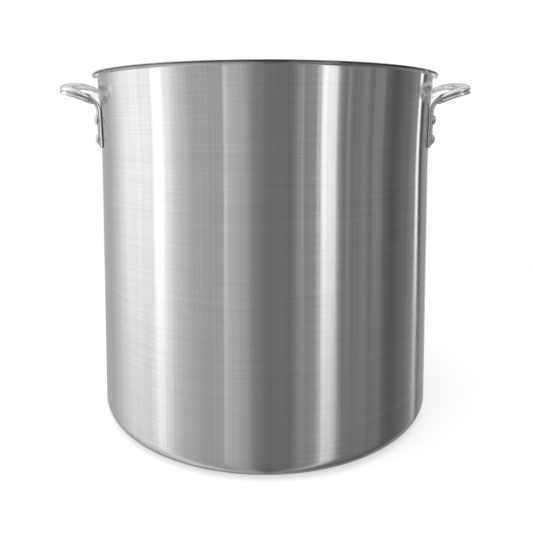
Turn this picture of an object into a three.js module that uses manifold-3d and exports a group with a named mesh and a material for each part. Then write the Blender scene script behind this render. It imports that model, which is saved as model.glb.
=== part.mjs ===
// Heavy aluminium stock pot with two cast loop handles, each held by four solid rivets.
// Units are millimetres, +Z is up, and the origin is the centre of the underside of the base.

import * as THREE from 'three';
import { mergeVertices } from 'three/addons/utils/BufferGeometryUtils.js';
import Module from 'manifold-3d';

// Shell
const POT_HEIGHT = 460;
const WALL_RADIUS = 230;
const WALL_THICKNESS = 4;
const BASE_THICKNESS = 6;
const CORNER_RADIUS = 18.5;
const FLARE_BOTTOM = 320;
const FLARE = 4.9;
const RIM_REACH = 6;
const RIM_HEIGHT = 3.6;
const SHELL_SEGMENTS = 72;
const FLARE_STEPS = 8;
const CORNER_STEPS = 7;
const BEAD_STEPS = 6;

// Handle loop: splayed legs rise from the feet to a wide grip that arches in the middle
const GRIP_X = 263.8;
const GRIP_Z = 438.3;
const GRIP_HALF = 98.8;
const GRIP_ARCH = 8.7;
const LEG_SLOPE = 0.29;
const LEG_DROOP = 71e-6;
const LEG_START_X = 205;
const BEND_LENGTH = 24;
const FOOT_OFFSET = 86;
const BAR_STEPS = 56;

// Bar section: lower lip, groove and crowned upper flange, heights from the underside
const BAR_WIDTH = 14;
const BAR_HEIGHT = 11.1;
const LIP_TOP = 3;
const GROOVE_BOTTOM = 3.5;
const GROOVE_TOP = 5.6;
const GROOVE_DEPTH = 2.8;
const FLANGE_BOTTOM = 6.2;
const FLANGE_SHOULDER = 8.2;
const LIP_SETBACK = 0.5;

// Handle feet
const FOOT_BOTTOM = 363;
const FOOT_TOP = 424;
const FOOT_WIDTH = 20;
const FOOT_THICKNESS = 2.5;
const PAD_WIDTH = 14;
const PAD_THICKNESS = 4.6;
const PAD_INSET = 3;
const FOOT_CORNER = 3;
const FOOT_CORNER_STEPS = 3;

// Rivets
const RIVET_HEIGHTS = { lower: 374.5, upper: 399.5 };
const SHANK_RADIUS = 3.2;
const HEAD_RADIUS = 6;
const HEAD_HEIGHT = 3.4;
const TAIL_RADIUS = 5.8;
const TAIL_HEIGHT = 2.4;
const TAIL_FLAT_RADIUS = 3.5;
const DOME_STEPS = 6;
const RIVET_SEGMENTS = 16;

// Gap kept between neighbouring pieces, and the distance within which vertices are one
const GAP = 0.3;
const WELD_DISTANCE = 1e-4;

const wasm = await Module();
wasm.setup();

// ---------------------------------------------------------------- solids

function toSolid(geometry) {
  const bare = geometry.index ? geometry.clone() : geometry;
  bare.deleteAttribute('normal');
  bare.deleteAttribute('uv');
  const merged = mergeVertices(bare, WELD_DISTANCE);
  return new wasm.Manifold(new wasm.Mesh({
    numProp: 3,
    vertProperties: new Float32Array(merged.attributes.position.array),
    triVerts: new Uint32Array(merged.index.array),
  }));
}

function toGeometry(solid) {
  const mesh = solid.getMesh();
  const geometry = new THREE.BufferGeometry();
  geometry.setAttribute('position', new THREE.BufferAttribute(mesh.vertProperties, 3));
  geometry.setIndex(new THREE.BufferAttribute(mesh.triVerts, 1));
  geometry.computeVertexNormals();
  return geometry;
}

// A lathe turned about +Z; three.js turns its profile about +Y.
function turned(profile, segments) {
  return new THREE.LatheGeometry(profile, segments).rotateX(Math.PI / 2);
}

// ---------------------------------------------------------------- shell

function flareAt(z) {
  const t = Math.max(0, (z - FLARE_BOTTOM) / (POT_HEIGHT - FLARE_BOTTOM));
  return FLARE * t * t;
}

function flareSlopeAt(z) {
  const span = POT_HEIGHT - FLARE_BOTTOM;
  return 2 * FLARE * Math.max(0, z - FLARE_BOTTOM) / (span * span);
}

// Points of the flared wall at an offset from its outer face, from one height to another.
function wallPoints(offset, fromZ, toZ, steps) {
  const points = [];
  for (let i = 0; i <= steps; i += 1) {
    const z = THREE.MathUtils.lerp(fromZ, toZ, i / steps);
    points.push(new THREE.Vector2(WALL_RADIUS + offset + flareAt(z), z));
  }
  return points;
}

// Points of an arc in the profile plane, angles in radians.
function arcPoints(centreX, centreZ, radius, from, to, steps) {
  const points = [];
  for (let i = 0; i <= steps; i += 1) {
    const angle = THREE.MathUtils.lerp(from, to, i / steps);
    points.push(new THREE.Vector2(
      centreX + radius * Math.cos(angle),
      centreZ + radius * Math.sin(angle),
    ));
  }
  return points;
}

function shellProfile() {
  const rimRadius = RIM_HEIGHT / 2;
  const beadX = WALL_RADIUS + FLARE + RIM_REACH - rimRadius;
  const beadZ = POT_HEIGHT - rimRadius;
  const innerCorner = CORNER_RADIUS - WALL_THICKNESS;
  const cornerX = WALL_RADIUS - CORNER_RADIUS;
  return [
    new THREE.Vector2(0, 0),
    ...arcPoints(cornerX, CORNER_RADIUS, CORNER_RADIUS, -Math.PI / 2, 0, CORNER_STEPS),
    ...wallPoints(0, FLARE_BOTTOM, POT_HEIGHT - RIM_HEIGHT, FLARE_STEPS),
    ...arcPoints(beadX, beadZ, rimRadius, -Math.PI / 2, Math.PI / 2, BEAD_STEPS),
    ...wallPoints(-WALL_THICKNESS, POT_HEIGHT, FLARE_BOTTOM, FLARE_STEPS),
    ...arcPoints(cornerX, BASE_THICKNESS + innerCorner, innerCorner, 0, -Math.PI / 2, CORNER_STEPS),
    new THREE.Vector2(0, BASE_THICKNESS),
  ];
}

// A solid plug bounded by the flared wall's outer face pushed outwards by an offset.
function wallPlug(offset) {
  const profile = [
    new THREE.Vector2(0, FLARE_BOTTOM),
    ...wallPoints(offset, FLARE_BOTTOM, POT_HEIGHT, FLARE_STEPS),
    new THREE.Vector2(0, POT_HEIGHT),
  ];
  return toSolid(turned(profile, SHELL_SEGMENTS));
}

// ---------------------------------------------------------------- rivets

// Each rivet stands square to the flared wall, at one foot of one handle.
function rivetPlaces() {
  const places = [];
  for (const side of ['right', 'left']) {
    for (const [end, lateral] of [['front', -FOOT_OFFSET], ['rear', FOOT_OFFSET]]) {
      for (const [level, z] of Object.entries(RIVET_HEIGHTS)) {
        const angle = Math.asin(lateral / WALL_RADIUS);
        const azimuth = side === 'right' ? angle : Math.PI - angle;
        places.push({ name: `rivet_${side}_${end}_${level}`, azimuth, z });
      }
    }
  }
  return places;
}

// Turns a shape built along +Z, with z = 0 on the wall's outer face, to a rivet's place.
function placeMatrix({ azimuth, z }) {
  const tilt = Math.atan(flareSlopeAt(z));
  const radius = WALL_RADIUS + flareAt(z);
  const outward = new THREE.Vector3(
    Math.cos(azimuth) * Math.cos(tilt),
    Math.sin(azimuth) * Math.cos(tilt),
    -Math.sin(tilt),
  );
  const turn = new THREE.Quaternion().setFromUnitVectors(new THREE.Vector3(0, 0, 1), outward);
  const centre = new THREE.Vector3(Math.cos(azimuth) * radius, Math.sin(azimuth) * radius, z);
  return new THREE.Matrix4().compose(centre, turn, new THREE.Vector3(1, 1, 1));
}

function rivetGeometry() {
  const headZ = PAD_THICKNESS + GAP;
  const tailZ = -WALL_THICKNESS - GAP;
  const dome = [];
  for (let i = 0; i < DOME_STEPS; i += 1) {
    const angle = (Math.PI / 2) * (i / DOME_STEPS);
    dome.push(new THREE.Vector2(HEAD_RADIUS * Math.cos(angle), headZ + HEAD_HEIGHT * Math.sin(angle)));
  }
  dome.push(new THREE.Vector2(0, headZ + HEAD_HEIGHT));
  return turned([
    new THREE.Vector2(0, tailZ - TAIL_HEIGHT),
    new THREE.Vector2(TAIL_FLAT_RADIUS, tailZ - TAIL_HEIGHT),
    new THREE.Vector2(TAIL_RADIUS, tailZ - TAIL_HEIGHT / 2),
    new THREE.Vector2(TAIL_RADIUS, tailZ),
    new THREE.Vector2(SHANK_RADIUS, tailZ),
    new THREE.Vector2(SHANK_RADIUS, headZ),
    ...dome,
  ], RIVET_SEGMENTS);
}

// A cylinder that passes through the wall and the foot with clearance round the shank.
function rivetHole(place) {
  const radius = SHANK_RADIUS + GAP;
  const length = 4 * (WALL_THICKNESS + PAD_THICKNESS);
  const hole = new THREE.CylinderGeometry(radius, radius, length, RIVET_SEGMENTS).rotateX(Math.PI / 2);
  hole.applyMatrix4(placeMatrix(place));
  return toSolid(hole);
}

// ---------------------------------------------------------------- handles

// Height of the bar's centre line above a point of its plan outline.
function barHeightAt(x, y) {
  const inward = GRIP_X - x;
  const arch = GRIP_ARCH * (1 - (y / GRIP_HALF) ** 2);
  return GRIP_Z + arch - LEG_SLOPE * inward - LEG_DROOP * inward ** 3;
}

// Unit normal of the curved surface that the loop's centre line lies on.
function barNormalAt(x, y) {
  const slopeX = LEG_SLOPE + 3 * LEG_DROOP * (GRIP_X - x) ** 2;
  const slopeY = -2 * GRIP_ARCH * y / GRIP_HALF ** 2;
  return new THREE.Vector3(-slopeX, -slopeY, 1).normalize();
}

// Plan outline of the loop: a splayed leg, a bend, the grip, a bend and a leg.
function loopPlan() {
  const footX = Math.sqrt(WALL_RADIUS ** 2 - FOOT_OFFSET ** 2);
  const splay = (GRIP_HALF - FOOT_OFFSET) / (GRIP_X - footX);
  const startY = FOOT_OFFSET - splay * (footX - LEG_START_X);
  const inward = new THREE.Vector2(LEG_START_X - GRIP_X, startY - GRIP_HALF).setLength(BEND_LENGTH);
  const legEndX = GRIP_X + inward.x;
  const legEndY = GRIP_HALF + inward.y;
  const gripEndY = GRIP_HALF - BEND_LENGTH;
  const plan = new THREE.Path();
  plan.moveTo(LEG_START_X, -startY);
  plan.lineTo(legEndX, -legEndY);
  plan.quadraticCurveTo(GRIP_X, -GRIP_HALF, GRIP_X, -gripEndY);
  plan.lineTo(GRIP_X, gripEndY);
  plan.quadraticCurveTo(GRIP_X, GRIP_HALF, legEndX, legEndY);
  plan.lineTo(LEG_START_X, startY);
  return plan;
}

// The centre line of the loop in space.
class LoopCurve extends THREE.Curve {
  constructor() {
    super();
    this.plan = loopPlan();
  }

  getPoint(t, target = new THREE.Vector3()) {
    const { x, y } = this.plan.getPoint(t);
    return target.set(x, y, barHeightAt(x, y));
  }

  // Keeps the section square to the curved surface all the way round the loop.
  computeFrenetFrames(steps) {
    const frames = { tangents: [], normals: [], binormals: [] };
    for (let i = 0; i <= steps; i += 1) {
      const tangent = this.getTangentAt(i / steps);
      const { x, y } = this.getPointAt(i / steps);
      const up = barNormalAt(x, y);
      frames.tangents.push(tangent);
      frames.normals.push(new THREE.Vector3().crossVectors(up, tangent).normalize());
      frames.binormals.push(up);
    }
    return frames;
  }
}

// Bar section with a lower lip, a groove down each side and a crowned top, drawn about its centre.
function barSection() {
  const top = BAR_HEIGHT / 2;
  const half = BAR_WIDTH / 2;
  const shoulder = FLANGE_SHOULDER - top;
  const right = [
    [half - LIP_SETBACK, -top],
    [half - LIP_SETBACK, LIP_TOP - top],
    [half - GROOVE_DEPTH, GROOVE_BOTTOM - top],
    [half - GROOVE_DEPTH, GROOVE_TOP - top],
    [half, FLANGE_BOTTOM - top],
    [half, shoulder],
  ];
  const shape = new THREE.Shape();
  shape.moveTo(...right[0]);
  for (const [x, y] of right.slice(1)) {
    shape.lineTo(x, y);
  }
  shape.bezierCurveTo(half, top - LIP_SETBACK, half / 2, top, 0, top);
  shape.bezierCurveTo(-half / 2, top, -half, top - LIP_SETBACK, -half, shoulder);
  for (const [x, y] of right.slice(0, -1).reverse()) {
    shape.lineTo(-x, y);
  }
  shape.closePath();
  return shape;
}

function bar() {
  return toSolid(new THREE.ExtrudeGeometry(barSection(), {
    steps: BAR_STEPS,
    curveSegments: 4,
    extrudePath: new LoopCurve(),
  }));
}

// Upright strap with rounded lower corners, extruded outwards through the wall's side.
function strap(lateral, width, bottom) {
  const left = lateral - width / 2;
  const right = lateral + width / 2;
  const cornerY = bottom + FOOT_CORNER;
  const shape = new THREE.Shape();
  shape.moveTo(left, FOOT_TOP);
  shape.lineTo(left, cornerY);
  shape.absarc(left + FOOT_CORNER, cornerY, FOOT_CORNER, Math.PI, 1.5 * Math.PI);
  shape.absarc(right - FOOT_CORNER, cornerY, FOOT_CORNER, 1.5 * Math.PI, 2 * Math.PI);
  shape.lineTo(right, FOOT_TOP);
  shape.closePath();
  const geometry = new THREE.ExtrudeGeometry(shape, {
    depth: WALL_RADIUS - LEG_START_X,
    bevelEnabled: false,
    curveSegments: FOOT_CORNER_STEPS,
  });
  // The outline's x becomes Y, its y becomes Z, and the extrusion runs along +X.
  geometry.applyMatrix4(new THREE.Matrix4().makeBasis(
    new THREE.Vector3(0, 1, 0),
    new THREE.Vector3(0, 0, 1),
    new THREE.Vector3(1, 0, 0),
  ));
  geometry.translate(LEG_START_X, 0, 0);
  return toSolid(geometry);
}

function handleSolid(rivets) {
  const footSkin = wallPlug(FOOT_THICKNESS);
  const padSkin = wallPlug(PAD_THICKNESS);
  let handle = bar();
  for (const lateral of [-FOOT_OFFSET, FOOT_OFFSET]) {
    handle = handle.add(strap(lateral, FOOT_WIDTH, FOOT_BOTTOM).intersect(footSkin));
    handle = handle.add(strap(lateral, PAD_WIDTH, FOOT_BOTTOM + PAD_INSET).intersect(padSkin));
  }
  handle = handle.subtract(wallPlug(GAP));
  for (const place of rivets) {
    handle = handle.subtract(rivetHole(place));
  }
  return handle;
}

// ---------------------------------------------------------------- assembly

const spunAluminium = new THREE.MeshStandardMaterial({ color: 0xb4b5b4, roughness: 0.32, metalness: 1 });
const castAluminium = new THREE.MeshStandardMaterial({ color: 0xb9b8b3, roughness: 0.42, metalness: 1 });
const rivetAluminium = new THREE.MeshStandardMaterial({ color: 0xc2c2be, roughness: 0.36, metalness: 1 });

const group = new THREE.Group();

function addPiece(name, geometry, material) {
  const mesh = new THREE.Mesh(geometry, material.clone());
  mesh.name = name;
  group.add(mesh);
  return mesh;
}

const places = rivetPlaces();

let shell = toSolid(turned(shellProfile(), SHELL_SEGMENTS));
for (const place of places) {
  shell = shell.subtract(rivetHole(place));
}
addPiece('pot_body', toGeometry(shell), spunAluminium);

const handle = toGeometry(handleSolid(places.filter(({ name }) => name.startsWith('rivet_right'))));
addPiece('handle_right', handle, castAluminium);
addPiece('handle_left', handle.clone(), castAluminium).rotation.z = Math.PI;

for (const place of places) {
  const rivet = addPiece(place.name, rivetGeometry(), rivetAluminium);
  rivet.applyMatrix4(placeMatrix(place));
}

export default group;
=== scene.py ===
"""Studio picture of a heavy aluminium stock pot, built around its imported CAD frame."""

import math

import bmesh
import bpy
from mathutils import Matrix, Vector


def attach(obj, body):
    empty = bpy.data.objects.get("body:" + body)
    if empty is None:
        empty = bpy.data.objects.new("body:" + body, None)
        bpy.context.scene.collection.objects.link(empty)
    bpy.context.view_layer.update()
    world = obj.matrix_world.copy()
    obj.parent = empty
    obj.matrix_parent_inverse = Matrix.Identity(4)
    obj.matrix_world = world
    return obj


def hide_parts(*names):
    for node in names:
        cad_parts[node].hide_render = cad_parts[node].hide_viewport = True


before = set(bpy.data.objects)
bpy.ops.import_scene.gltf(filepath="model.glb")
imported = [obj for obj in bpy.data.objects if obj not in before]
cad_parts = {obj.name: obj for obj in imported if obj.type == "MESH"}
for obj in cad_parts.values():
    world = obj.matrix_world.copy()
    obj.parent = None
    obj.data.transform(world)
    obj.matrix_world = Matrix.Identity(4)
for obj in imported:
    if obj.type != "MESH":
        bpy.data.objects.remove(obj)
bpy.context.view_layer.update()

MM = 0.001

# ------------------------------------------------------------------ sizes of the object, mm

POT_HEIGHT = 460.0
WALL_RADIUS = 230.0
WALL_THICKNESS = 4.0
BASE_THICKNESS = 6.0
CORNER_RADIUS = 18.5
FLARE_BOTTOM = 320.0
FLARE = 4.9
STRAIGHT_WALL = (30, 300)
RIM_REACH = 6.0
RIM_HEIGHT = 3.6
RIM_SEAM_DEPTH = 0.35
RIM_UNDER_FILLET = 1.6
RIM_INNER_ROUND = 0.9
MOUTH_DEPTH = 4.0
BASE_MARGIN = 6.0
SHELL_SEGMENTS = 360

GRIP_X = 263.8
GRIP_Z = 438.3
GRIP_HALF = 98.8
GRIP_ARCH = 8.7
LEG_SLOPE = 0.29
LEG_DROOP = 71e-6
BEND_LENGTH = 24.0
BAR_HEIGHT = 11.1
FOOT_OFFSET = 86.0
FOOT_BOTTOM = 363.0
FOOT_CORNER = 3.0
FOOT_BEND = 13.0
FOOT_BEND_DROP = 2.0
PAD_INSET = 3.0
PAD_THICKNESS = 4.6
PAD_RISE = 0.5
GAP = 0.3

RIVET_HEIGHTS = {"lower": 374.5, "upper": 399.5}
SHANK_RADIUS = 3.2
HEAD_RADIUS = 6.0
HEAD_HEIGHT = 3.4
HEAD_EDGE = 0.7
HEAD_CHAMFER = (0.15, 0.2)
TAIL_RADIUS = 5.8
TAIL_HEIGHT = 2.4
TAIL_ROUND = 1.6
TAIL_FLAT = 2.6
RIVET_SEGMENTS = 40


# ------------------------------------------------------------------ camera

# Fitted to the photo's outline; distance and height in metres, pitch in degrees below level.
CAMERA_DISTANCE = 0.8136
CAMERA_HEIGHT = 0.3914
CAMERA_PITCH = 4.02
SENSOR_WIDTH = 36.0
LENS = 37.39
SHIFT_X = 0.0024
SHIFT_Y = -0.1904


def make_camera():
    data = bpy.data.cameras.new("camera")
    data.sensor_width = SENSOR_WIDTH
    data.lens = LENS
    data.shift_x = SHIFT_X
    data.shift_y = SHIFT_Y
    data.clip_start = 0.01
    camera = bpy.data.objects.new("camera", data)
    camera.location = (0, -CAMERA_DISTANCE, CAMERA_HEIGHT)
    camera.rotation_euler = (math.radians(90 - CAMERA_PITCH), 0, 0)
    bpy.context.scene.collection.objects.link(camera)
    bpy.context.scene.camera = camera


# ------------------------------------------------------------------ node helpers


class Nodes:
    """Adds nodes and links to one node tree with short calls."""

    def __init__(self, tree):
        self.tree = tree
        tree.nodes.clear()

    def add(self, kind, inputs=None, **settings):
        node = self.tree.nodes.new(kind)
        for key, value in settings.items():
            setattr(node, key, value)
        for key, value in (inputs or {}).items():
            self.feed(node.inputs[key], value)
        return node

    def feed(self, socket, value):
        if isinstance(value, bpy.types.NodeSocket):
            self.tree.links.new(value, socket)
        else:
            socket.default_value = value

    def math(self, operation, a, b=0.0):
        return self.add("ShaderNodeMath", {0: a, 1: b}, operation=operation).outputs[0]

    def times(self, a, b):
        return self.math("MULTIPLY", a, b)

    def plus(self, a, b):
        return self.math("ADD", a, b)

    def ranged(self, value, from_min, from_max, to_min, to_max, smooth=False):
        node = self.add(
            "ShaderNodeMapRange",
            {"Value": value, "From Min": from_min, "From Max": from_max,
             "To Min": to_min, "To Max": to_max},
            interpolation_type="SMOOTHSTEP" if smooth else "LINEAR",
        )
        return node.outputs[0]

    def noise(self, vector, stretch, detail=2.0, roughness=0.5):
        """Noise whose features are about one over `stretch` metres long on each axis."""
        mapped = self.add("ShaderNodeMapping", {"Vector": vector, "Scale": stretch})
        node = self.add(
            "ShaderNodeTexNoise",
            {"Vector": mapped.outputs[0], "Scale": 1.0, "Detail": detail, "Roughness": roughness},
        )
        return node.outputs["Fac"]

    def tinted(self, low, high, fac):
        node = self.add("ShaderNodeMix", data_type="RGBA")
        self.feed(node.inputs["Factor"], fac)
        self.feed(node.inputs["A"], (*low, 1.0))
        self.feed(node.inputs["B"], (*high, 1.0))
        return node.outputs["Result"]

    def darkened(self, colour, level):
        """The colour times one level for all three channels."""
        grey = self.add("ShaderNodeCombineColor", {"Red": level, "Green": level, "Blue": level})
        node = self.add("ShaderNodeMix", data_type="RGBA", blend_type="MULTIPLY")
        self.feed(node.inputs["Factor"], 1.0)
        self.feed(node.inputs["A"], colour)
        self.feed(node.inputs["B"], grey.outputs[0])
        return node.outputs["Result"]

    def bump(self, height, distance, normal=None):
        node = self.add("ShaderNodeBump", {"Height": height, "Distance": distance, "Strength": 1.0})
        if normal is not None:
            self.feed(node.inputs["Normal"], normal)
        return node.outputs[0]

    def mixed_shader(self, fac, first, second):
        node = self.add("ShaderNodeMixShader", {"Fac": fac})
        self.feed(node.inputs[1], first.outputs[0])
        self.feed(node.inputs[2], second.outputs[0])
        return node


def new_material(name):
    material = bpy.data.materials.new(name)
    material.use_nodes = True
    return material, Nodes(material.node_tree)


def finish_metal(nodes, colour, roughness, normal, anisotropic=0.0, rotation=0.0, tangent=None):
    shader = nodes.add(
        "ShaderNodeBsdfPrincipled",
        {"Base Color": colour, "Metallic": 1.0, "Roughness": roughness, "Normal": normal,
         "Anisotropic": anisotropic, "Anisotropic Rotation": rotation},
    )
    if tangent is not None:
        nodes.feed(shader.inputs["Tangent"], tangent)
    nodes.add("ShaderNodeOutputMaterial", {"Surface": shader.outputs[0]})


# ------------------------------------------------------------------ materials

# The part of a noise's values that is stretched over a range: the narrower, the more contrast.
WIDE = (0.25, 0.75)
BROAD = (0.3, 0.7)
MEDIUM = (0.32, 0.68)
NARROW = (0.35, 0.65)
TIGHT = (0.4, 0.6)
LOPSIDED = (0.35, 0.7)

SPUN_DARK = (0.61, 0.612, 0.612)
SPUN_LIGHT = (0.735, 0.732, 0.722)
SPUN_ROUGHNESS = (0.12, 0.18)
CLOUD_ROUGHNESS = (-0.015, 0.02)
# Strength of the fine upright streaks of painted reflection.
PAINTED_STREAK_LEVEL = 0.11
LINE_LEVEL = 0.035
LINE_CLOUD = (0.4, 1.6)
# How dark the painted shade on the lip's outer face is.
LIP_PAINTED_SHADE = 0.7
# Height range in metres, and the levels at its two ends: painted shade towards the bottom of the pot,
# and where the painted reflection streaks start.
BASE_SHADE = (0.0, 0.03, 0.86, 1.0)
PAINTED_STREAK_START = (0.012, 0.03, 0.0, 1.0)
# Where the painted shade on the lip starts and where it is full: in metres from the lip's edges, and
# in mm off the wall.
LIP_FADE = (0.0002, 0.0007)
LIP_OUTSIDE = (1, 3)
WAVE_DEPTH = 0.0003
LINE_DEPTH = 0.00002
ACROSS_THE_LINES = 0.25

CAST_DARK = (0.60, 0.59, 0.565)
CAST_LIGHT = (0.80, 0.795, 0.78)
CAST_ROUGHNESS = (0.13, 0.24)
CAST_GRAIN_ROUGHNESS = (-0.03, 0.06)
RIPPLE_DEPTH = 0.00025
CAST_GRAIN_DEPTH = 0.00003

RIVET_DARK = (0.58, 0.58, 0.57)
RIVET_LIGHT = (0.76, 0.76, 0.75)
RIVET_ROUGHNESS = (0.2, 0.32)
DENT_DEPTH = 0.00025


def lip_painted_shade(n, height, radius):
    """Share by which the colour is darkened as painted shade, on the outer face of the rolled lip
    only.
    """
    start, full = LIP_FADE
    lip_low = (POT_HEIGHT - RIM_HEIGHT) * MM
    lip_high = POT_HEIGHT * MM
    on_lip = n.times(n.ranged(height, lip_low + start, lip_low + full, 0.0, 1.0),
                     n.ranged(height, lip_high - full, lip_high - start, 1.0, 0.0))
    wall_top = WALL_RADIUS + FLARE
    near, far = LIP_OUTSIDE
    outside = n.ranged(radius, (wall_top + near) * MM, (wall_top + far) * MM, 0.0, 1.0)
    return n.times(n.times(on_lip, outside), LIP_PAINTED_SHADE)


def spun_aluminium():
    """Satin aluminium with fine lines running round the pot, faint upright sheet marks and fine
    upright streaks of painted reflection; painted shade darkens the base and the lip's outer face.
    """
    material, n = new_material("spun_aluminium")
    place = n.add("ShaderNodeTexCoord").outputs["Object"]
    axes = n.add("ShaderNodeSeparateXYZ", {"Vector": place})
    height = axes.outputs["Z"]
    flat = n.add("ShaderNodeVectorMath", {0: place, 1: (1, 1, 0)}, operation="MULTIPLY").outputs[0]
    radius = n.add("ShaderNodeVectorMath", {0: flat}, operation="LENGTH").outputs["Value"]
    around = n.add("ShaderNodeVectorMath", {0: flat}, operation="NORMALIZE").outputs[0]
    # Along the profile, so that the turning lines run round the walls and in rings on the base.
    along = n.add("ShaderNodeCombineXYZ", {"X": axes.outputs["X"], "Y": axes.outputs["Y"],
                                           "Z": n.plus(height, radius)}).outputs[0]
    lines = n.noise(along, (9, 9, 620), detail=3.0, roughness=0.7)
    bands = n.noise(along, (1.5, 1.5, 160), detail=2.0)
    marks = n.noise(place, (55, 55, 1.6), detail=3.0, roughness=0.6)
    # Fine upright streaks round the pot, used as painted reflection.
    painted_reflection_streaks = n.noise(around, (130, 130, 0), detail=3.0, roughness=0.75)
    cloud = n.noise(place, (9, 9, 9), detail=4.0)
    waves = n.noise(place, (11, 11, 1.1), detail=1.0)

    grain = n.plus(n.times(lines, 0.6), n.times(bands, 0.4))
    tone = n.plus(n.times(marks, 0.6), n.times(grain, 0.4))
    colour = n.tinted(SPUN_DARK, SPUN_LIGHT, n.ranged(tone, *MEDIUM, 0.0, 1.0))
    # Painted reflection: fine upright streaks that fade out just above the base.
    painted_streak = n.times(n.ranged(painted_reflection_streaks, *WIDE, -PAINTED_STREAK_LEVEL, PAINTED_STREAK_LEVEL),
                     n.ranged(height, *PAINTED_STREAK_START))
    line = n.times(n.ranged(lines, *WIDE, -LINE_LEVEL, LINE_LEVEL),
                   n.ranged(cloud, *TIGHT, *LINE_CLOUD))
    # Painted shade: darker towards the bottom of the pot and on the rolled lip's outer face.
    shade = n.times(n.ranged(height, *BASE_SHADE, smooth=True),
                    n.math("SUBTRACT", 1.0, lip_painted_shade(n, height, radius)))
    level = n.times(shade, n.plus(1.0, n.plus(painted_streak, line)))

    rough = n.plus(n.ranged(grain, *BROAD, *SPUN_ROUGHNESS),
                   n.ranged(cloud, *LOPSIDED, *CLOUD_ROUGHNESS))
    normal = n.bump(waves, WAVE_DEPTH)
    normal = n.bump(lines, LINE_DEPTH, normal)
    tangent = n.add("ShaderNodeTangent", direction_type="RADIAL", axis="Z").outputs[0]
    finish_metal(n, n.darkened(colour, level), rough, normal, 1.0, ACROSS_THE_LINES, tangent)
    return material


def cast_aluminium():
    """Polished casting: soft ripples, a fine sand-cast grain and a few worn patches."""
    material, n = new_material("cast_aluminium")
    place = n.add("ShaderNodeTexCoord").outputs["Object"]
    ripple = n.noise(place, (110, 110, 110), detail=2.0)
    grain = n.noise(place, (1300, 1300, 1300), detail=3.0, roughness=0.7)
    patch = n.noise(place, (38, 38, 38), detail=4.0)
    colour = n.tinted(CAST_DARK, CAST_LIGHT, n.ranged(patch, *NARROW, 0.0, 1.0))
    rough = n.plus(n.ranged(patch, *NARROW, *CAST_ROUGHNESS),
                   n.ranged(grain, *BROAD, *CAST_GRAIN_ROUGHNESS))
    normal = n.bump(ripple, RIPPLE_DEPTH)
    normal = n.bump(grain, CAST_GRAIN_DEPTH, normal)
    finish_metal(n, colour, rough, normal)
    return material


def rivet_aluminium():
    """Pressed rivet metal with small dents and a slightly darker skin."""
    material, n = new_material("rivet_aluminium")
    place = n.add("ShaderNodeTexCoord").outputs["Object"]
    dents = n.noise(place, (420, 420, 420), detail=2.0)
    grain = n.noise(place, (2200, 2200, 2200), detail=2.0)
    colour = n.tinted(RIVET_DARK, RIVET_LIGHT, n.ranged(dents, *NARROW, 0.0, 1.0))
    finish_metal(n, colour, n.ranged(grain, *BROAD, *RIVET_ROUGHNESS), n.bump(dents, DENT_DEPTH))
    return material


# ------------------------------------------------------------------ mesh helpers

# Edges sharper than this, in degrees, stay hard; shapes made of fine arcs allow a little more.
SHARP_ANGLE = 40
SHARP_ANGLE_FINE = 50


def to_object(name, mesh_data, material, sharp_angle=SHARP_ANGLE):
    mesh = bpy.data.meshes.new(name)
    mesh_data.normal_update()
    mesh_data.to_mesh(mesh)
    mesh_data.free()
    for face in mesh.polygons:
        face.use_smooth = True
    mesh.set_sharp_from_angle(angle=math.radians(sharp_angle))
    mesh.materials.append(material)
    piece = bpy.data.objects.new(name, mesh)
    bpy.context.scene.collection.objects.link(piece)
    return piece


def circle(count):
    """Cosine and sine of evenly spaced angles round a full turn."""
    angles = [2 * math.pi * i / count for i in range(count)]
    return [(math.cos(angle), math.sin(angle)) for angle in angles]


def join_rows(made, rows):
    """Fills the space between each closed row of vertices and the next with quads."""
    count = len(rows[0])
    for low, high in zip(rows, rows[1:]):
        for i in range(count):
            j = (i + 1) % count
            made.faces.new((low[i], low[j], high[j], high[i]))


def skin(rings):
    """Joins closed rings of points, in mm, into a closed skin with one face over each end."""
    made = bmesh.new()
    rows = [[made.verts.new(Vector(point) * MM) for point in ring] for ring in rings]
    join_rows(made, rows)
    made.faces.new(list(reversed(rows[0])))
    made.faces.new(rows[-1])
    bmesh.ops.recalc_face_normals(made, faces=made.faces)
    return made


def turned(profile, segments, place=None):
    """Turns a profile of (radius, height) pairs that starts and ends on the axis."""
    made = bmesh.new()
    spin = circle(segments)
    place = place or Matrix.Identity(4)

    def vertex(x, y, z):
        return made.verts.new((place @ Vector((x, y, z))) * MM)

    first = vertex(0, 0, profile[0][1])
    last = vertex(0, 0, profile[-1][1])
    rows = [[vertex(r * c, r * s, z) for c, s in spin] for r, z in profile[1:-1]]
    join_rows(made, rows)
    for i in range(segments):
        j = (i + 1) % segments
        made.faces.new((first, rows[0][j], rows[0][i]))
        made.faces.new((last, rows[-1][i], rows[-1][j]))
    bmesh.ops.recalc_face_normals(made, faces=made.faces)
    return made


def arc(centre_r, centre_z, radius, start, end, steps):
    """Points of an arc in the profile plane, angles in degrees."""
    points = []
    for i in range(steps + 1):
        angle = math.radians(start + (end - start) * i / steps)
        points.append((centre_r + radius * math.cos(angle), centre_z + radius * math.sin(angle)))
    return points


def blend(a, b, fraction):
    return a + (b - a) * fraction


def smooth(value):
    value = min(1.0, max(0.0, value))
    return value * value * (3 - 2 * value)


def curve(start, control, end, steps):
    """Points of a quadratic curve, without its last one."""
    points = []
    for i in range(steps):
        t = i / steps
        points.append(start * (1 - t) ** 2 + control * (2 * t * (1 - t)) + end * t ** 2)
    return points


# ------------------------------------------------------------------ pot body


def flare_at(z):
    t = max(0.0, (z - FLARE_BOTTOM) / (POT_HEIGHT - FLARE_BOTTOM))
    return FLARE * t * t


def flare_tilt_at(z):
    span = POT_HEIGHT - FLARE_BOTTOM
    return math.atan(2 * FLARE * max(0.0, z - FLARE_BOTTOM) / (span * span))


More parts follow.
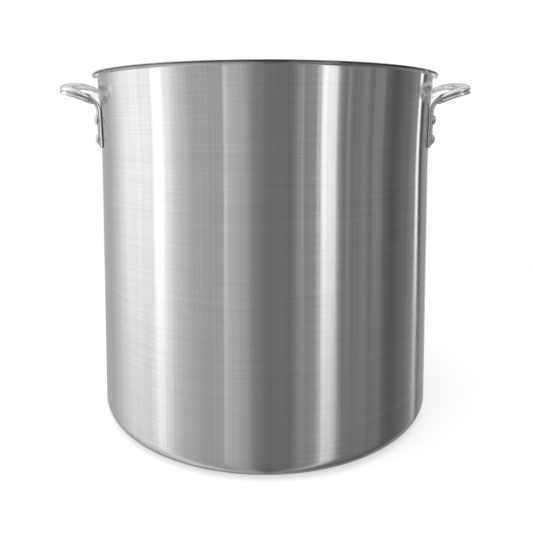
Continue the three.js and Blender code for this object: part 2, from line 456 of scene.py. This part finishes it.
def wall(offset, from_z, to_z, steps):
    heights = [blend(from_z, to_z, i / steps) for i in range(steps + 1)]
    return [(WALL_RADIUS + offset + flare_at(z), z) for z in heights]


def pot_profile():
    """Base, rounded corner, flared wall, rolled rim lip, inner wall and inner corner."""
    base_edge = WALL_RADIUS - CORNER_RADIUS
    base_middle = base_edge * 0.5
    straight_low, straight_high = STRAIGHT_WALL
    lip_under = POT_HEIGHT - RIM_HEIGHT
    fillet = RIM_UNDER_FILLET
    fillet_r = WALL_RADIUS + flare_at(lip_under - fillet) + fillet
    lip_end = WALL_RADIUS + FLARE + RIM_REACH
    roll = RIM_HEIGHT / 4
    mouth = WALL_RADIUS - WALL_THICKNESS + FLARE
    inner_round = RIM_INNER_ROUND
    inner_corner = CORNER_RADIUS - WALL_THICKNESS
    profile = [(0, 0), (base_middle, 0), (base_edge - BASE_MARGIN, 0)]
    profile += arc(base_edge, CORNER_RADIUS, CORNER_RADIUS, -90, 0, steps=18)
    profile += wall(0, straight_low, straight_high, steps=12)
    profile += wall(0, FLARE_BOTTOM, lip_under - fillet, steps=26)
    profile += arc(fillet_r, lip_under - fillet, fillet, 180, 90, steps=5)[1:]
    profile += arc(lip_end - roll, lip_under + roll, roll, -90, 60, steps=8)
    profile.append((lip_end - RIM_SEAM_DEPTH, POT_HEIGHT - RIM_HEIGHT / 2))
    profile += arc(lip_end - roll, POT_HEIGHT - roll, roll, -60, 90, steps=8)
    profile += arc(mouth + inner_round, POT_HEIGHT - inner_round, inner_round, 90, 180, steps=5)
    profile += wall(-WALL_THICKNESS, POT_HEIGHT - MOUTH_DEPTH, FLARE_BOTTOM, steps=22)
    profile += wall(-WALL_THICKNESS, straight_high, straight_low, steps=12)
    profile += arc(base_edge, BASE_THICKNESS + inner_corner, inner_corner, 0, -90, steps=14)
    profile += [(base_middle, BASE_THICKNESS), (0, BASE_THICKNESS)]
    return profile


# ------------------------------------------------------------------ rivets


def rivet_place(side, lateral, z):
    """Stands a shape built along +Z square to the wall's outer face, at one rivet's place."""
    azimuth = math.asin(lateral / WALL_RADIUS)
    if side == "left":
        azimuth = math.pi - azimuth
    tilt = flare_tilt_at(z)
    outward = Vector((
        math.cos(azimuth) * math.cos(tilt),
        math.sin(azimuth) * math.cos(tilt),
        -math.sin(tilt),
    ))
    radius = WALL_RADIUS + flare_at(z)
    centre = Vector((math.cos(azimuth) * radius, math.sin(azimuth) * radius, z))
    return Matrix.Translation(centre) @ outward.to_track_quat("Z", "Y").to_matrix().to_4x4()


def rivet_profile():
    """Flat rounded tail inside the pot, shank through wall and foot, and a low dome outside."""
    head = PAD_THICKNESS + GAP / 2
    tail = -WALL_THICKNESS - GAP / 2
    tail_end = tail - TAIL_HEIGHT
    crown = HEAD_HEIGHT - HEAD_EDGE
    crown_steps = 12
    inset, lift = HEAD_CHAMFER
    profile = [(0, tail_end), (TAIL_FLAT, tail_end)]
    profile += arc(TAIL_RADIUS - TAIL_ROUND, tail_end + TAIL_ROUND, TAIL_ROUND, -90, 0, steps=6)
    profile += [(TAIL_RADIUS, tail), (SHANK_RADIUS, tail), (SHANK_RADIUS, head)]
    profile += [(HEAD_RADIUS - inset, head), (HEAD_RADIUS, head + lift)]
    profile.append((HEAD_RADIUS, head + HEAD_EDGE))
    for i in range(1, crown_steps):
        angle = math.pi / 2 * i / crown_steps
        rise = crown * math.sin(angle)
        profile.append((HEAD_RADIUS * math.cos(angle), head + HEAD_EDGE + rise))
    profile.append((0, head + HEAD_HEIGHT))
    return profile


# ------------------------------------------------------------------ handles

# Half sections, from the middle of the back to the middle of the outer face: (half width, depth).
# The loop has a groove along each side; the strap on the wall is a flange with a raised pad.
BAR_SECTION = [
    (0.0, 0.0), (2.2, 0.25), (3.9, 0.95), (5.2, 1.9), (6.1, 2.9), (6.7, 3.9), (7.0, 4.8),
    (6.9, 5.3), (6.3, 5.6), (5.3, 5.75), (4.8, 5.95), (4.7, 6.3), (4.8, 6.65), (5.3, 6.85),
    (5.9, 7.3), (6.3, 8.1), (6.7, 9.1), (7.0, 10.0), (6.6, 10.7), (5.2, 11.1), (0.0, 11.1),
]
STRAP_SECTION = [
    (0.0, 0.0), (5.0, 0.0), (8.5, 0.0), (9.75, 0.0), (9.97, 0.12), (10.0, 0.45), (10.0, 0.95),
    (9.8, 1.25), (9.2, 1.8), (8.6, 2.3), (7.5, 2.4), (7.1, 2.6), (7.0, 2.95), (7.0, 3.2),
    (6.85, 3.75), (6.45, 4.15), (5.9, 4.3), (4.8, 4.3), (3.6, 4.3), (2.0, 4.3), (0.0, 4.3),
]
STRAP_HALF_WIDTH = 10
FLANGE_POINTS = 11
FLANGE_DEPTH = 2.4

# The section turns from TURN_START outside the wall, and changes from CHANGE_START before the
# bend's corner, each over its own length. A point is past the corner by either of two margins. In mm.
TURN_START = 4
TURN_LENGTH = 14
CHANGE_START = 9
CHANGE_LENGTH = 24
CORNER_BELOW = 1
CORNER_BESIDE = 3


def bar_height(x, y):
    inward = GRIP_X - x
    arch = GRIP_ARCH * (1 - (y / GRIP_HALF) ** 2)
    return GRIP_Z + arch - LEG_SLOPE * inward - LEG_DROOP * inward ** 3


def bar_up(x, y):
    slope_x = LEG_SLOPE + 3 * LEG_DROOP * (GRIP_X - x) ** 2
    slope_y = -2 * GRIP_ARCH * y / GRIP_HALF ** 2
    return Vector((-slope_x, -slope_y, 1)).normalized()


def back_point(x, y):
    """A point of the bar's crown line, over a point of its plan outline."""
    return Vector((x, y, bar_height(x, y))) + bar_up(x, y) * (BAR_HEIGHT / 2)


def half_plan():
    """Plan outline from inside the wall to the middle of the grip, on the -Y side."""
    leg_steps, bend_steps, grip_steps = 16, 24, 28
    foot_x = math.sqrt(WALL_RADIUS ** 2 - FOOT_OFFSET ** 2)
    foot = Vector((foot_x, -FOOT_OFFSET))
    corner = Vector((GRIP_X, -GRIP_HALF))
    leg_end = corner + (foot - corner).normalized() * BEND_LENGTH
    grip_end = corner + Vector((0, BEND_LENGTH))
    middle = Vector((GRIP_X, 0))
    points = [foot.lerp(leg_end, i / leg_steps) for i in range(leg_steps)]
    points += curve(leg_end, corner, grip_end, bend_steps)
    points += [grip_end.lerp(middle, i / grip_steps) for i in range(grip_steps + 1)]
    return points


def wall_point(z):
    radius = WALL_RADIUS + flare_at(z) + GAP
    return Vector((math.sqrt(radius ** 2 - FOOT_OFFSET ** 2), -FOOT_OFFSET, z))


def half_back_line():
    """The back line from the foot's lower end up the wall, round the bend and along the loop."""
    straight_steps, bend_steps = 14, 14
    loop = [back_point(point.x, point.y) for point in half_plan()]
    outside = [p for p in loop if math.hypot(p.x, p.y) > WALL_RADIUS + flare_at(p.z) + GAP]
    corner = wall_point(outside[0].z - FOOT_BEND_DROP)
    bend_start = wall_point(corner.z - FOOT_BEND)
    beyond = [p for p in outside if (p - corner).length > FOOT_BEND]
    # Close together at first, where the flange's end and then the pad's end round off.
    flange_end = [0.0, 0.12, 0.4, 0.9, 1.6, 2.3]
    pad_end = [PAD_INSET + rise for rise in (0, 0.15, 0.5, 1.0, 1.7, 2.4, FOOT_CORNER)]
    line = [wall_point(FOOT_BOTTOM + rise) for rise in flange_end + pad_end]
    first = FOOT_BOTTOM + pad_end[-1]
    line += [wall_point(blend(first, bend_start.z, i / straight_steps))
             for i in range(1, straight_steps)]
    line += curve(bend_start, corner, beyond[0], bend_steps)
    return line + beyond, corner


def rounded_end(rise):
    """Width at a height above a rounded end, from 0 up to the corner's radius."""
    return math.sqrt(max(0.0, FOOT_CORNER ** 2 - (FOOT_CORNER - min(rise, FOOT_CORNER)) ** 2))


def foot_section(rise):
    """Strap section near the foot's lower end, where the flange and then the pad round off."""
    above = max(0.0, rise - PAD_INSET)
    flange = rounded_end(rise)
    pad = rounded_end(above)
    raised = smooth(above / PAD_RISE)
    points = []
    for i, (width, depth) in enumerate(STRAP_SECTION):
        trimmed = FOOT_CORNER - (flange if i < FLANGE_POINTS or above == 0 else pad)
        width = max(0.0, width - trimmed * width / STRAP_HALF_WIDTH)
        if i >= FLANGE_POINTS:
            depth = blend(FLANGE_DEPTH, depth, raised)
        points.append((width, depth))
    return points


def handle_rings():
    """Closed sections all along the handle, from the front foot round to the rear foot."""
    half, corner = half_back_line()
    line = half + [Vector((p.x, -p.y, p.z)) for p in reversed(half[:-1])]
    rings = []
    for i, point in enumerate(line):
        mirrored = i >= len(half)
        near = half[len(line) - 1 - i] if mirrored else half[i]
        tangent = (line[min(len(line) - 1, i + 1)] - line[max(0, i - 1)]).normalized()

        # The section is square to the wall on the foot, and turns with the plan outline beyond it.
        outward = Vector((point.x, point.y, 0)).normalized()
        on_foot = outward.cross(Vector((0, 0, 1 if mirrored else -1)))
        on_loop = Vector((0, 0, 1)).cross(Vector((tangent.x, tangent.y, 0))).normalized()
        turn = smooth((math.hypot(near.x, near.y) - WALL_RADIUS - TURN_START) / TURN_LENGTH)
        across = on_foot.lerp(on_loop, turn)
        across = (across - tangent * across.dot(tangent)).normalized()
        up = tangent.cross(across)

        # The strap's section changes to the bar's from a little below the bend.
        past_corner = near.z > corner.z - CORNER_BELOW or near.x > corner.x + CORNER_BESIDE
        travelled = (near - corner).length * (1 if past_corner else -1)
        weight = smooth((travelled + CHANGE_START) / CHANGE_LENGTH)
        strap = foot_section(near.z - FOOT_BOTTOM) if weight == 0 else STRAP_SECTION
        section = [(blend(a[0], b[0], weight), blend(a[1], b[1], weight))
                   for a, b in zip(strap, BAR_SECTION)]
        outline = section + [(-w, d) for w, d in reversed(section[1:-1])]
        rings.append([point + across * w - up * d for w, d in outline])
    return rings


# ------------------------------------------------------------------ studio

# Level of the room round the pot, by compass angle from the front in degrees.
ROOM_LEVELS = [
    (-180, 0.30), (-142, 0.35), (-118, 0.33), (-95, 0.34), (-62, 0.37), (-50, 0.37), (-38, 0.335),
    (-27.5, 0.32), (-25.5, 0.42), (-13, 0.34), (-7, 0.20), (3, 0.142), (17, 0.142), (20, 0.185),
    (32, 0.215), (47, 0.20), (54, 0.15), (62, 0.165), (80, 0.13), (93, 0.082), (108, 0.13),
    (118, 0.20), (125, 0.17), (128, 0.07), (131, 0.07), (136, 0.24), (152, 0.26), (180, 0.30),
]

# Upright light panels: (angle, half width, soft edge, strength), angles in degrees.
PANELS = [
    (-91, 8, 36, 0.51),
    (-73.4, 3.2, 1.6, 0.44),
    (-65.5, 1.4, 4, 0.16),
    (-55, 1, 5, 0.04),
    (-25.6, 0.35, 0.7, 0.22),
    (21.8, 0.3, 0.6, 0.10),
    (23.9, 0.4, 0.7, 0.15),
    (29, 1.2, 1.5, 0.04),
    (33.9, 0.35, 0.5, 0.40),
    (41.0, 4.8, 1.2, 0.52),
    (37.6, 0.8, 1.5, 0.14),
    (42.5, 5.2, 2.4, 0.13),
    (55, 0.7, 1.2, 0.08),
    (67.5, 1.2, 1.8, 0.05),
    (78.5, 3.8, 1.0, 0.065),
    (124.2, 1.5, 1.2, 0.8),
    (155, 1.2, 1.2, 0.4),
]

# Fades: an angle range in degrees, then the levels at its two ends. All but the backdrop's spread,
# which counts from straight behind the pot, go by the height above the horizon.
ROOM_FADE = (-60, -12, 0.8, 1.0)
PANEL_FADE = (-36, -2, 0.5, 1.0)
BACKDROP_SPREAD = (14, 25, 0.8, 0.0)
BACKDROP_FOOT = (-26, -12, 0.0, 1.0)
BACKDROP_TOP = (2, 12, 1.0, 0.15)
CEILING_FADE = (14, 42, 0.0, 0.26)

# The levels above are as seen on metal of this tone, so the light is divided by it.
METAL_TONE = 0.67

FLOOR_RINGS = (0.05, 0.3, 0.7, 1.3)
FLOOR_SIDES = 64
FLOOR_DROP = 0.0002
FLOOR_DARK = (0.90, 0.90, 0.895)
FLOOR_LIGHT = (0.93, 0.93, 0.925)
# Distance range in metres, and the share of the white surroundings at its two ends.
FLOOR_FADE = (0.35, 1.1, 0.55, 1.0)

# Soft lamps for the floor: (name, place, size, power).
LAMPS = [
    ("overhead", (-0.15, -0.5, 2.2), 2.4, 40),
    ("front", (0.0, -2.4, 1.3), 1.8, 20),
]


def room_ramp(n, angle):
    """The room's level at a compass angle, as a ramp over the full turn."""
    ramp = n.add("ShaderNodeValToRGB", {"Fac": n.ranged(angle, -180, 180, 0, 1)})
    ramp.color_ramp.interpolation = "EASE"
    stops = ramp.color_ramp.elements
    for i, (at, level) in enumerate(ROOM_LEVELS):
        position = (at + 180) / 360
        stop = stops[i] if i < 2 else stops.new(position)
        stop.position = position
        stop.color = (level, level, level, 1)
    return ramp.outputs["Color"]


def build_world():
    """A room for the metal to reflect, and plain white for the camera."""
    world = bpy.data.worlds.new("studio")
    world.use_nodes = True
    n = Nodes(world.node_tree)
    direction = n.add("ShaderNodeTexCoord").outputs["Generated"]
    split = n.add("ShaderNodeSeparateXYZ", {"Vector": direction})
    forward = n.times(split.outputs["Y"], -1.0)
    angle = n.times(n.math("ARCTAN2", split.outputs["X"], forward), 180 / math.pi)
    rise = n.times(n.math("ARCSINE", split.outputs["Z"]), 180 / math.pi)

    total = n.times(room_ramp(n, angle), n.ranged(rise, *ROOM_FADE, smooth=True))
    panel_fade = n.ranged(rise, *PANEL_FADE, smooth=True)
    for at, half_width, edge, strength in PANELS:
        away = n.math("ABSOLUTE", n.math("SUBTRACT", angle, float(at)))
        shape = n.ranged(away, half_width, half_width + edge, strength, 0.0, smooth=True)
        total = n.plus(total, n.times(shape, panel_fade))
    # The bright backdrop is what the rim, the grips and the wall's outermost edges reflect.
    behind = n.math("SUBTRACT", 180.0, n.math("ABSOLUTE", angle))
    backdrop = n.times(n.ranged(behind, *BACKDROP_SPREAD, smooth=True),
                       n.ranged(rise, *BACKDROP_FOOT, smooth=True))
    backdrop = n.times(backdrop, n.ranged(rise, *BACKDROP_TOP, smooth=True))
    total = n.plus(total, backdrop)
    total = n.plus(total, n.ranged(rise, *CEILING_FADE, smooth=True))
    total = n.times(total, 1 / METAL_TONE)

    room = n.add("ShaderNodeBackground", {"Color": (1, 1, 1, 1), "Strength": total})
    paper = n.add("ShaderNodeBackground", {"Color": (1, 1, 1, 1), "Strength": 1.0})
    camera_ray = n.add("ShaderNodeLightPath").outputs["Is Camera Ray"]
    mixed = n.mixed_shader(camera_ray, room, paper)
    n.add("ShaderNodeOutputWorld", {"Surface": mixed.outputs[0]})
    bpy.context.scene.world = world


def floor_material():
    """Pale matt floor that fades out into the white surroundings."""
    material, n = new_material("pale_floor")
    place = n.add("ShaderNodeTexCoord").outputs["Object"]
    far = n.add("ShaderNodeVectorMath", {0: place}, operation="LENGTH").outputs["Value"]
    colour = n.tinted(FLOOR_DARK, FLOOR_LIGHT, n.noise(place, (3, 3, 3), detail=3.0))
    shader = n.add("ShaderNodeBsdfPrincipled", {"Base Color": colour, "Roughness": 0.9})
    shader.inputs["Specular IOR Level"].default_value = 0.1
    clear = n.add("ShaderNodeBsdfTransparent")
    mixed = n.mixed_shader(n.ranged(far, *FLOOR_FADE, smooth=True), shader, clear)
    n.add("ShaderNodeOutputMaterial", {"Surface": mixed.outputs[0]})
    return material


def build_floor():
    made = bmesh.new()
    spin = circle(FLOOR_SIDES)
    rows = [[made.verts.new(Vector((r * c, r * s, 0))) for c, s in spin] for r in FLOOR_RINGS]
    made.faces.new(rows[0])
    join_rows(made, rows[::-1])
    floor = to_object("floor", made, floor_material())
    floor.location.z = -FLOOR_DROP
    floor.visible_glossy = False


def build_lamps():
    for name, place, size, power in LAMPS:
        lamp = bpy.data.lights.new(name, "AREA")
        lamp.shape = "SQUARE"
        lamp.size = size
        lamp.energy = power
        lamp_object = bpy.data.objects.new(name, lamp)
        lamp_object.location = place
        lamp_object.rotation_euler = Vector(place).to_track_quat("Z", "Y").to_euler()
        lamp_object.visible_glossy = False
        bpy.context.scene.collection.objects.link(lamp_object)


# ------------------------------------------------------------------ assembly

scene = bpy.context.scene
scene.view_settings.view_transform = "Standard"
scene.view_settings.look = "None"

make_camera()
build_world()
build_floor()
build_lamps()

spun = spun_aluminium()
cast = cast_aluminium()
rivet_metal = rivet_aluminium()

pot = to_object("pot", turned(pot_profile(), SHELL_SEGMENTS), spun, SHARP_ANGLE_FINE)
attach(pot, "root")
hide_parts("pot_body")

rings = handle_rings()
for side_name, sign in (("right", 1), ("left", -1)):
    # The left handle is the right one turned half round.
    side_rings = [[Vector((p.x * sign, p.y * sign, p.z)) for p in ring] for ring in rings]
    loop = to_object(f"loop_{side_name}", skin(side_rings), cast, SHARP_ANGLE_FINE)
    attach(loop, "root")
    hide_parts(f"handle_{side_name}")

for side_name in ("right", "left"):
    for end, lateral in (("front", -FOOT_OFFSET), ("rear", FOOT_OFFSET)):
        for level, rivet_z in RIVET_HEIGHTS.items():
            place = rivet_place(side_name, lateral, rivet_z)
            label = f"{side_name}_{end}_{level}"
            shape = turned(rivet_profile(), RIVET_SEGMENTS, place)
            stud = to_object(f"stud_{label}", shape, rivet_metal)
            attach(stud, "root")
            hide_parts(f"rivet_{label}")
